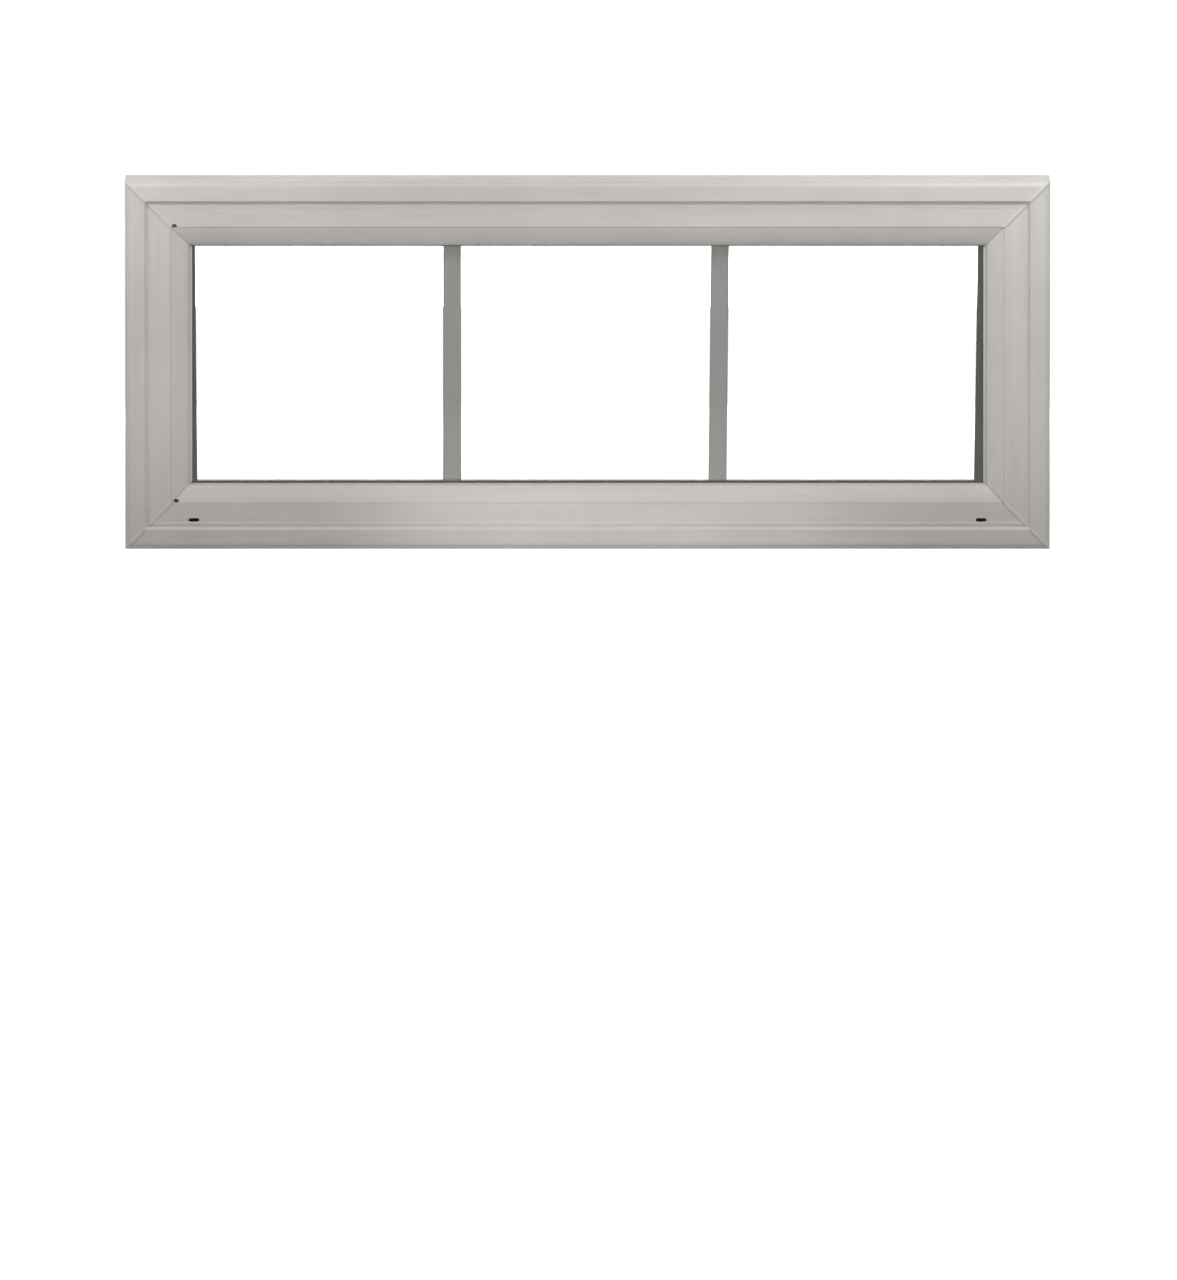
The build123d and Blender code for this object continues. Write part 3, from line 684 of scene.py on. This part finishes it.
def soft_vinyl(name, stretch):
    """Matt flexible vinyl."""
    material, tree, shader, coordinates = new_material(name)
    lines = placed_group(tree, die_lines, stretched(tree, coordinates, stretch))
    marks = placed_group(tree, handling, coordinates)
    colour = mix_colour(tree, lines.outputs["Tone"], LIP_LIGHT, LIP_DULL)
    smeared = calculate(tree, "MULTIPLY", marks.outputs["Smear"], LIP_SMEARED)
    tree.links.new(mix_colour(tree, smeared, colour, LIP_DULL), shader.inputs["Base Color"])
    roughness = in_range(tree, marks.outputs["Smear"], 0.0, 1.0, *LIP_ROUGHNESS)
    tree.links.new(roughness, shader.inputs["Roughness"])
    bump(tree, shader, lines.outputs["Height"], strength=0.3, distance=DIE_LINE_DEPTH)
    return material


lip_flat = soft_vinyl("soft lip along X", ALONG_X)
lip_upright = soft_vinyl("soft lip along Z", ALONG_Z)
for side in sides:
    reach = LIP_REACH[side]
    lip_outline = [
        (LIP_BOND, BEAD_FOOT_END),
        (BEAD_NOSE, BEAD_FOOT_END),
        (BEAD_NOSE, LIP_NOSE_START, LIP_RADIUS / 2),
        (reach, (LIP_NOSE_START + BEAD_FOOT_END) / 2, LIP_RADIUS),
        (reach - LIP_UNDERCUT, GLASS_FRONT, LIP_RADIUS),
        (LIP_BOND, GLASS_FRONT),
    ]
    bm = mitred_bar([lip_outline], side_length(side, FRAME_RECTANGLE))
    put_on_side(bm, side, FRAME_RECTANGLE)
    piece = finished(bm, f"bead_lip_{side}_soft")
    even_shading(piece)
    piece.data.materials.append(lip_flat if side in ("sill", "head") else lip_upright)
    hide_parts(f"bead_lip_{side}")
    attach(piece, "root")

# Glazing tape
# Light grey closed-cell foam, stuck to the glazing leg, that beds the inside pane.
# The CAD's own pieces stay, and only take a material here.
TAPE_LIGHT = linear(190, 190, 186)
TAPE_DARK = linear(160, 160, 155)
CELLS_PER_METRE = 1800.0
material, tree, shader, coordinates = new_material("foam tape")
cells = tree.nodes.new("ShaderNodeTexVoronoi")
cells.inputs["Scale"].default_value = CELLS_PER_METRE
tree.links.new(coordinates, cells.inputs["Vector"])
pores = in_range(tree, cells.outputs["Distance"], 0.0, 0.6)
tree.links.new(mix_colour(tree, pores, TAPE_DARK, TAPE_LIGHT), shader.inputs["Base Color"])
tree.links.new(in_range(tree, pores, 0.0, 1.0, 0.95, 0.8), shader.inputs["Roughness"])
bump(tree, shader, pores, strength=0.4, distance=0.0002)
for side in sides:
    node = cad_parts[f"glazing_tape_{side}"]
    node.data.materials.clear()
    node.data.materials.append(material)

# Glass
# Two sheets of clear float glass with the sharp edges ground off, sealed into one unit.
# Shadow rays and bounced light pass straight through them, so the panes hardly shade what is behind.
PANE_ARRIS = 0.0004
GLASS_TINT = (0.985, 0.997, 0.991, 1.0)
GLASS_SHADE = (0.92, 0.93, 0.925, 1.0)
GLASS_INDEX = 1.5
FILM_ROUGHNESS = 0.02
material, tree, shader, coordinates = new_material("clear float glass")
shader.inputs["Base Color"].default_value = GLASS_TINT
shader.inputs["Transmission Weight"].default_value = 1.0
shader.inputs["IOR"].default_value = GLASS_INDEX
film = noise(tree, coordinates, scale=5.0, detail=5.0, roughness=0.6)
tree.links.new(in_range(tree, film, 0.55, 0.8, 0.0, FILM_ROUGHNESS), shader.inputs["Roughness"])
output = tree.nodes["Material Output"]
ray = tree.nodes.new("ShaderNodeLightPath")
open_way = tree.nodes.new("ShaderNodeBsdfTransparent")
open_way.inputs["Color"].default_value = GLASS_SHADE
lamp_or_bounce = calculate(tree, "MAXIMUM", ray.outputs["Is Shadow Ray"], ray.outputs["Is Diffuse Ray"])
choice = tree.nodes.new("ShaderNodeMixShader")
feed(tree, choice.inputs, (lamp_or_bounce, shader.outputs[0], open_way.outputs[0]))
tree.links.new(choice.outputs[0], output.inputs["Surface"])
for name in ("glass_outside", "glass_inside"):
    low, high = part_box(name)
    bm = bmesh.new()
    bmesh.ops.create_cube(bm, size=1.0)
    bmesh.ops.scale(bm, vec=high - low, verts=bm.verts[:])
    bmesh.ops.bevel(
        bm,
        geom=bm.edges[:],
        offset=PANE_ARRIS,
        offset_type="OFFSET",
        affect="EDGES",
        segments=1,
        profile=0.5,
        material=-1,
    )
    piece = finished(moved(bm, (low + high) / 2), name + "_pane")
    piece.data.materials.append(material)
    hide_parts(name)
    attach(piece, "root")

# Edge seal
# Black sealant, pressed in between the panes behind the spacer, that closes the unit.
# It follows the spacer, which wasn't laid quite square: its uprights stand in a little and lean apart.
UNIT_LOW, UNIT_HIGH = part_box("glass_outside")
UNIT_RECTANGLE = (UNIT_LOW.x, UNIT_HIGH.x, UNIT_LOW.z, UNIT_HIGH.z)
CAVITY_FRONT = 0.021
CAVITY_BACK = 0.034
SEAL_WIDTH = 0.007
SPACER_SHOULDER = 0.0025
SHIFT_LEFT = 0.0029
SHIFT_RIGHT = -0.0026
LEAN_LEFT = -0.0089
LEAN_RIGHT = 0.0157
seal_outline = [
    (0, CAVITY_FRONT),
    (SEAL_WIDTH + SPACER_SHOULDER, CAVITY_FRONT),
    (SEAL_WIDTH, CAVITY_FRONT + SPACER_SHOULDER),
    (SEAL_WIDTH, CAVITY_BACK - SPACER_SHOULDER),
    (SEAL_WIDTH + SPACER_SHOULDER, CAVITY_BACK),
    (0, CAVITY_BACK),
]
SEAL_BLACK = linear(40, 40, 40)
SEAL_GREY = linear(62, 62, 60)
material, tree, shader, coordinates = new_material("black sealant")
lumps = noise(tree, coordinates, scale=160.0, detail=4.0)
colour = mix_colour(tree, in_range(tree, lumps, 0.35, 0.7), SEAL_BLACK, SEAL_GREY)
tree.links.new(colour, shader.inputs["Base Color"])
tree.links.new(in_range(tree, lumps, 0.3, 0.7, 0.45, 0.65), shader.inputs["Roughness"])
bump(tree, shader, lumps, strength=0.5, distance=0.0004)


def lean(verts):
    """Shifts and leans verts sideways, by what lies between the leans of the two uprights at their place."""
    for vert in verts:
        way = (vert.co.x - UNIT_LOW.x) / (UNIT_HIGH.x - UNIT_LOW.x)
        slope = LEAN_LEFT + (LEAN_RIGHT - LEAN_LEFT) * way
        shift = SHIFT_LEFT + (SHIFT_RIGHT - SHIFT_LEFT) * way
        vert.co.x += shift + slope * (vert.co.z - UNIT_LOW.z)


for side in sides:
    bm = mitred_bar([seal_outline], side_length(side, UNIT_RECTANGLE))
    inner = [vert for vert in bm.verts if vert.co.z > SEAL_WIDTH / 2]
    put_on_side(bm, side, UNIT_RECTANGLE)
    lean(inner)
    piece = finished(bm, f"edge_seal_{side}_cured")
    even_shading(piece)
    piece.data.materials.append(material)
    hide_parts(f"edge_seal_{side}")
    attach(piece, "root")

# Spacer
# A dark bronze hollow strip, rolled from thin metal, that holds the panes apart.
# Towards the cavity it has a seam along its middle and a row of small vents on each side of that.
SPACER_HEIGHT = 0.011
SPACER_WALL = 0.0008
SPACER_EDGE_RADIUS = 0.0004
SPACER_SEAM_WIDTH = 0.0009
SPACER_SEAM_DEPTH = 0.0004
CAVITY_MIDDLE = (CAVITY_FRONT + CAVITY_BACK) / 2
VENT_FROM_SEAM = 0.003
VENT_WIDTH = 0.0004
VENT_LENGTH = 0.0012
VENT_SPACING = 0.008
SPACER_RECTANGLE = (
    UNIT_LOW.x + SEAL_WIDTH,
    UNIT_HIGH.x - SEAL_WIDTH,
    UNIT_LOW.z + SEAL_WIDTH,
    UNIT_HIGH.z - SEAL_WIDTH,
)
spacer_outline = [
    (0, CAVITY_FRONT + SPACER_SHOULDER),
    (SPACER_SHOULDER, CAVITY_FRONT, SPACER_EDGE_RADIUS),
    (SPACER_HEIGHT, CAVITY_FRONT, SPACER_EDGE_RADIUS),
    (SPACER_HEIGHT, CAVITY_MIDDLE - SPACER_SEAM_WIDTH / 2),
    (SPACER_HEIGHT - SPACER_SEAM_DEPTH, CAVITY_MIDDLE),
    (SPACER_HEIGHT, CAVITY_MIDDLE + SPACER_SEAM_WIDTH / 2),
    (SPACER_HEIGHT, CAVITY_BACK, SPACER_EDGE_RADIUS),
    (SPACER_SHOULDER, CAVITY_BACK, SPACER_EDGE_RADIUS),
    (0, CAVITY_BACK - SPACER_SHOULDER),
]
spacer_hollow = [
    (SPACER_WALL, CAVITY_FRONT + SPACER_SHOULDER),
    (SPACER_SHOULDER, CAVITY_FRONT + SPACER_WALL),
    (SPACER_HEIGHT - 2 * SPACER_WALL, CAVITY_FRONT + SPACER_WALL),
    (SPACER_HEIGHT - 2 * SPACER_WALL, CAVITY_BACK - SPACER_WALL),
    (SPACER_SHOULDER, CAVITY_BACK - SPACER_WALL),
    (SPACER_WALL, CAVITY_BACK - SPACER_SHOULDER),
]
SPACER_DARK = linear(34, 34, 31)
SPACER_LIGHT = linear(52, 51, 46)
VENT_BLACK = linear(12, 12, 11)


def spacer_metal(name, along_axis):
    """Dark bronze strip with two rows of vents that follow one axis."""
    material, tree, shader, coordinates = new_material(name)
    rolled = noise(tree, coordinates, scale=120.0, detail=4.0)
    colour = mix_colour(tree, in_range(tree, rolled, 0.3, 0.7), SPACER_DARK, SPACER_LIGHT)
    split = tree.nodes.new("ShaderNodeSeparateXYZ")
    tree.links.new(coordinates, split.inputs[0])
    from_seam = calculate(tree, "SUBTRACT", split.outputs["Y"], OUTSIDE_FACE + CAVITY_MIDDLE)
    from_row = calculate(tree, "SUBTRACT", calculate(tree, "ABSOLUTE", from_seam), VENT_FROM_SEAM)
    in_row = calculate(tree, "LESS_THAN", calculate(tree, "ABSOLUTE", from_row), VENT_WIDTH / 2)
    way = calculate(tree, "PINGPONG", split.outputs[along_axis], VENT_SPACING / 2)
    in_slit = calculate(tree, "LESS_THAN", way, VENT_LENGTH / 2)
    vent = calculate(tree, "MULTIPLY", in_row, in_slit)
    tree.links.new(mix_colour(tree, vent, colour, VENT_BLACK), shader.inputs["Base Color"])
    tree.links.new(in_range(tree, rolled, 0.3, 0.7, 0.4, 0.55), shader.inputs["Roughness"])
    height = calculate(tree, "SUBTRACT", calculate(tree, "MULTIPLY", rolled, 0.2), vent)
    bump(tree, shader, height, strength=0.6, distance=0.0002)
    return material


spacer_flat = spacer_metal("dark bronze spacer along X", "X")
spacer_upright = spacer_metal("dark bronze spacer along Z", "Z")
for side in sides:
    bm = mitred_bar([spacer_outline, spacer_hollow], side_length(side, SPACER_RECTANGLE))
    put_on_side(bm, side, SPACER_RECTANGLE)
    lean(bm.verts)
    piece = finished(bm, f"spacer_{side}_rolled")
    even_shading(piece)
    piece.data.materials.append(spacer_flat if side in ("sill", "head") else spacer_upright)
    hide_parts(f"spacer_{side}")
    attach(piece, "root")

# Bars between the panes
# Flat hollow aluminium with rounded edges, painted, that divide the glass into three lights.
# Moulded clips in their ends hold them to the spacer. The right-hand bar leans a little.
BAR_RADIUS = 0.0026
BAR_SEGMENTS = 8
BAR_WALL = 0.0007
CLIP_PLATE = 0.002
CLIP_SIDE = 0.0019
CLIP_DEPTH = 0.0044
BAR_LEAN = {"left": 0.0, "right": 0.0105}
BAR_LIGHT = linear(142, 141, 136)
BAR_DULL = linear(127, 128, 122)
BAR_SMEARED = 0.5
BAR_ROUGHNESS = (0.32, 0.45)


def rounded_tube(width, thickness, length, radius, wall=0.0):
    """An upright tube or, with no wall, a solid bar, with rounded upright edges."""
    bm = bmesh.new()
    bmesh.ops.create_cube(bm, size=1.0)
    bmesh.ops.scale(bm, vec=(width, thickness, length), verts=bm.verts[:])
    uprights = [e for e in bm.edges if abs(e.verts[0].co.z - e.verts[1].co.z) > length / 2]
    bmesh.ops.bevel(
        bm,
        geom=uprights,
        offset=radius,
        offset_type="OFFSET",
        affect="EDGES",
        segments=BAR_SEGMENTS,
        profile=0.5,
        material=-1,
    )
    if wall:
        ends = [f for f in bm.faces if abs(f.normal.z) > 0.9]
        bmesh.ops.inset_region(bm, faces=ends, thickness=wall, use_even_offset=True)
        top = [f for f in ends if f.normal.z > 0]
        bottom = [f for f in ends if f.normal.z < 0]
        rims = [edge for face in (top + bottom) for edge in face.edges]
        bmesh.ops.delete(bm, geom=ends, context="FACES_ONLY")
        bmesh.ops.bridge_loops(bm, edges=rims)
    bmesh.ops.recalc_face_normals(bm, faces=bm.faces[:])
    return bm


material, tree, shader, coordinates = new_material("painted bar")
lines = placed_group(tree, die_lines, stretched(tree, coordinates, ALONG_Z))
marks = placed_group(tree, handling, coordinates)
colour = mix_colour(tree, lines.outputs["Tone"], BAR_LIGHT, BAR_DULL)
smeared = calculate(tree, "MULTIPLY", marks.outputs["Smear"], BAR_SMEARED)
tree.links.new(mix_colour(tree, smeared, colour, BAR_DULL), shader.inputs["Base Color"])
roughness = in_range(tree, marks.outputs["Smear"], 0.0, 1.0, *BAR_ROUGHNESS)
tree.links.new(roughness, shader.inputs["Roughness"])
bump(tree, shader, lines.outputs["Height"], strength=0.15, distance=DIE_LINE_DEPTH)

clip_material, tree, shader, coordinates = new_material("moulded clip")
grain = noise(tree, coordinates, scale=500.0, detail=3.0)
tree.links.new(mix_colour(tree, grain, BAR_DULL, BAR_LIGHT), shader.inputs["Base Color"])
tree.links.new(in_range(tree, grain, 0.3, 0.7, 0.45, 0.6), shader.inputs["Roughness"])
bump(tree, shader, grain, strength=0.2, distance=0.0001)

for side in ("left", "right"):
    low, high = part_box(f"bar_{side}")
    size = high - low
    middle = (low + high) / 2
    bar = rounded_tube(size.x, size.y, size.z, BAR_RADIUS, BAR_WALL)
    parts = [(moved(bar, middle), f"bar_{side}", "_painted", material, "bar")]
    for end, direction in (("head", 1), ("sill", -1)):
        name = f"bar_clip_{side}_{end}"
        clip_low, clip_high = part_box(name)
        bm = rounded_tube(size.x, size.y, CLIP_PLATE, BAR_RADIUS)
        face = [f for f in bm.faces if f.normal.z * direction < -0.9]
        bmesh.ops.inset_region(bm, faces=face, thickness=(size.y - CLIP_DEPTH) / 2, use_even_offset=True)
        bmesh.ops.scale(bm, vec=((size.x - 2 * CLIP_SIDE) / size.x, 1, 1), verts=face[0].verts)
        tongue = bmesh.ops.extrude_face_region(bm, geom=face)["geom"]
        bmesh.ops.delete(bm, geom=face, context="FACES_ONLY")
        reach = (clip_high.z - clip_low.z - CLIP_PLATE) * -direction
        tongue_end = [item for item in tongue if isinstance(item, bmesh.types.BMVert)]
        bmesh.ops.translate(bm, verts=tongue_end, vec=(0, 0, reach))
        bmesh.ops.recalc_face_normals(bm, faces=bm.faces[:])
        seat = clip_high.z if direction > 0 else clip_low.z
        place = (middle.x, middle.y, seat - direction * CLIP_PLATE / 2)
        parts.append((moved(bm, place), name, "_moulded", clip_material, "clip"))

    for bm, name, ending, finish, slot in parts:
        for vert in bm.verts:
            vert.co.x += BAR_LEAN[side] * (vert.co.z - middle.z)
        piece = finished(bm, name + ending)
        even_shading(piece)
        piece.data.materials.append(finish)
        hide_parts(name)
        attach(piece, "root")

# Blocks
# Hard black plastic blocks under the unit and beside it, which carry it and keep it from shifting.
# The CAD's own pieces stay, and only take a material here.
material, tree, shader, coordinates = new_material("black block")
grain = noise(tree, coordinates, scale=700.0, detail=3.0)
tree.links.new(mix_colour(tree, grain, SEAL_BLACK, SEAL_GREY), shader.inputs["Base Color"])
tree.links.new(in_range(tree, grain, 0.3, 0.7, 0.5, 0.65), shader.inputs["Roughness"])
bump(tree, shader, grain, strength=0.3, distance=0.0001)
for name in ("setting_block_left", "setting_block_right", "edge_block_left", "edge_block_right"):
    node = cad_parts[name]
    node.data.materials.clear()
    node.data.materials.append(material)

# Screw caps
# Small moulded discs that snap into the driver holes on the room side of the jambs.
CAP_RADIUS = 0.0065
CAP_HEIGHT = 0.0016
CAP_ROUND = 0.0006
CAP_STEM = 0.005
CAP_CLEARANCE = 0.0001
CAP_STEPS = 48
cap_outline = [
    (0.0, CAP_HEIGHT),
    (CAP_RADIUS - CAP_ROUND, CAP_HEIGHT),
    (CAP_RADIUS, CAP_HEIGHT - CAP_ROUND),
    (CAP_RADIUS, 0.0),
    (DRIVER_RADIUS - CAP_CLEARANCE, 0.0),
    (DRIVER_RADIUS - CAP_CLEARANCE, -CAP_STEM),
    (0.0, -CAP_STEM),
]
for side, towards_middle in (("left", 1), ("right", -1)):
    for name, height in fixing_heights.items():
        bm = bmesh.new()
        verts = [bm.verts.new((radius, 0, z)) for radius, z in cap_outline]
        edges = [bm.edges.new(pair) for pair in zip(verts, verts[1:])]
        bmesh.ops.spin(
            bm,
            geom=verts + edges,
            cent=(0, 0, 0),
            axis=(0, 0, 1),
            angle=2 * pi,
            steps=CAP_STEPS,
            use_merge=True,
        )
        bmesh.ops.remove_doubles(bm, verts=bm.verts[:], dist=SAME_PLACE)
        bmesh.ops.recalc_face_normals(bm, faces=bm.faces[:])
        place = (-towards_middle * (FRAME_WIDTH / 2 - LEDGE), OUTSIDE_FACE + FIXING_DEPTH, height)
        turned = Matrix.Rotation(towards_middle * pi / 2, 4, "Y")
        bmesh.ops.transform(bm, matrix=Matrix.Translation(place) @ turned, verts=bm.verts[:])
        piece = finished(bm, f"screw_cap_{side}_{name}_moulded")
        even_shading(piece)
        piece.data.materials.append(vinyl_upright)
        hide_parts(f"screw_cap_{side}_{name}")
        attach(piece, "root")

# Studio
# A white floor and a white surround, soft lamps above, in front, behind and at both ends, a distant camera.
# Just before the sill the floor throws little light back: a painted shadow that only bounced light sees, as
# the dark lower edge in the photograph asks for.
FLOOR_SIZE = 240.0
SURROUND_LIGHT = 0.45
FLOOR_BOUNCE = 0.8
FLOOR_WHITE = 0.85
FLOOR_LIFT = 0.68
SHADED_DEPTH = 0.12
SHADED_BOUNCE = 0.3
FLOOR_ROUGHNESS = 0.9
bm = bmesh.new()
bmesh.ops.create_grid(bm, x_segments=1, y_segments=1, size=FLOOR_SIZE / 2)
floor = finished(bm, "floor")


def grey(level):
    """A colour of one level in all channels: 1 is white."""
    return (level, level, level, 1.0)


def seen_directly(tree):
    """1 for rays that carry a picture of the studio to the camera, also by glass or gloss, else 0."""
    ray = tree.nodes.new("ShaderNodeLightPath")
    seen = calculate(tree, "MAXIMUM", ray.outputs["Is Camera Ray"], ray.outputs["Is Glossy Ray"])
    return calculate(tree, "MAXIMUM", seen, ray.outputs["Is Transmission Ray"])


floor_material, tree, shader, coordinates = new_material("white floor")
shader.inputs["Roughness"].default_value = FLOOR_ROUGHNESS
shader.inputs["Specular IOR Level"].default_value = 0.0
split = tree.nodes.new("ShaderNodeSeparateXYZ")
tree.links.new(coordinates, split.inputs[0])
# Painted shadow: for bounced light, a strip of floor just before the sill is darker, as if that floor lay in
# shade.
before_sill = calculate(tree, "SUBTRACT", OUTSIDE_FACE, split.outputs["Y"])
shaded = calculate(tree, "COMPARE", before_sill, SHADED_DEPTH / 2, SHADED_DEPTH / 2)
bounce = mix_colour(tree, shaded, grey(FLOOR_BOUNCE), grey(SHADED_BOUNCE))
seen = seen_directly(tree)
tree.links.new(mix_colour(tree, seen, bounce, grey(FLOOR_WHITE)), shader.inputs["Base Color"])
shader.inputs["Emission Color"].default_value = grey(1.0)
tree.links.new(calculate(tree, "MULTIPLY", seen, FLOOR_LIFT), shader.inputs["Emission Strength"])
floor.data.materials.append(floor_material)

world = bpy.data.worlds.new("white surround")
bpy.context.scene.world = world
world.use_nodes = True
tree = world.node_tree
background = tree.nodes["Background"]
background.inputs["Color"].default_value = grey(1.0)
strength = in_range(tree, seen_directly(tree), 0.0, 1.0, SURROUND_LIGHT, 1.0)
tree.links.new(strength, background.inputs["Strength"])


def soft_lamp(name, place, aim, width, depth, power):
    """A rectangular soft lamp, turned towards a point. The camera doesn't see it."""
    lamp = bpy.data.lights.new(name, "AREA")
    lamp.shape = "RECTANGLE"
    lamp.size = width
    lamp.size_y = depth
    lamp.energy = power
    holder = bpy.data.objects.new(name, lamp)
    holder.location = place
    holder.rotation_euler = (Vector(aim) - Vector(place)).to_track_quat("-Z", "Y").to_euler()
    holder.visible_camera = False
    bpy.context.collection.objects.link(holder)


soft_lamp("strip over the head", (0.0, -0.40, 0.76), (0.0, 0.0, 0.33), 1.3, 0.15, power=1.55)
soft_lamp("card before the sill", (0.015, -0.14, 0.03), (0.015, 0.0, 0.025), 0.40, 0.04, power=0.07)
soft_lamp("lamp over the right end", (0.55, -0.30, 0.70), (0.42, 0.0, 0.34), 0.25, 0.15, power=1.2)
soft_lamp("lamp off the left end", (-0.68, -0.26, 0.62), (-0.42, 0.0, 0.30), 0.25, 0.15, power=0.85)
soft_lamp("panel in front", (0.0, -1.5, 0.6), (0.0, 0.0, 0.2), 1.6, 0.5, power=3.3)
soft_lamp("panel behind", (0.0, 1.6, 0.25), (0.0, 0.0, 0.2), 1.6, 0.3, power=10.0)

CAMERA_DISTANCE = 40.0
CAMERA_ELEVATION = radians(4.9)
CAMERA_TILT = radians(0.3913)
CAMERA_SIDESTEP = 0.0010
LENS = 1145.0
camera = bpy.data.cameras.new("camera")
camera.lens = LENS
camera.clip_end = 10 * CAMERA_DISTANCE
camera_holder = bpy.data.objects.new("camera", camera)
camera_holder.location = (
    CAMERA_SIDESTEP,
    -CAMERA_DISTANCE * cos(CAMERA_ELEVATION),
    FRAME_HEIGHT / 2 + CAMERA_DISTANCE * sin(CAMERA_ELEVATION),
)
camera_holder.rotation_euler = (pi / 2 - CAMERA_ELEVATION - CAMERA_TILT, 0.0, 0.0)
bpy.context.collection.objects.link(camera_holder)
bpy.context.scene.camera = camera_holder
bpy.context.scene.view_settings.view_transform = "Standard"
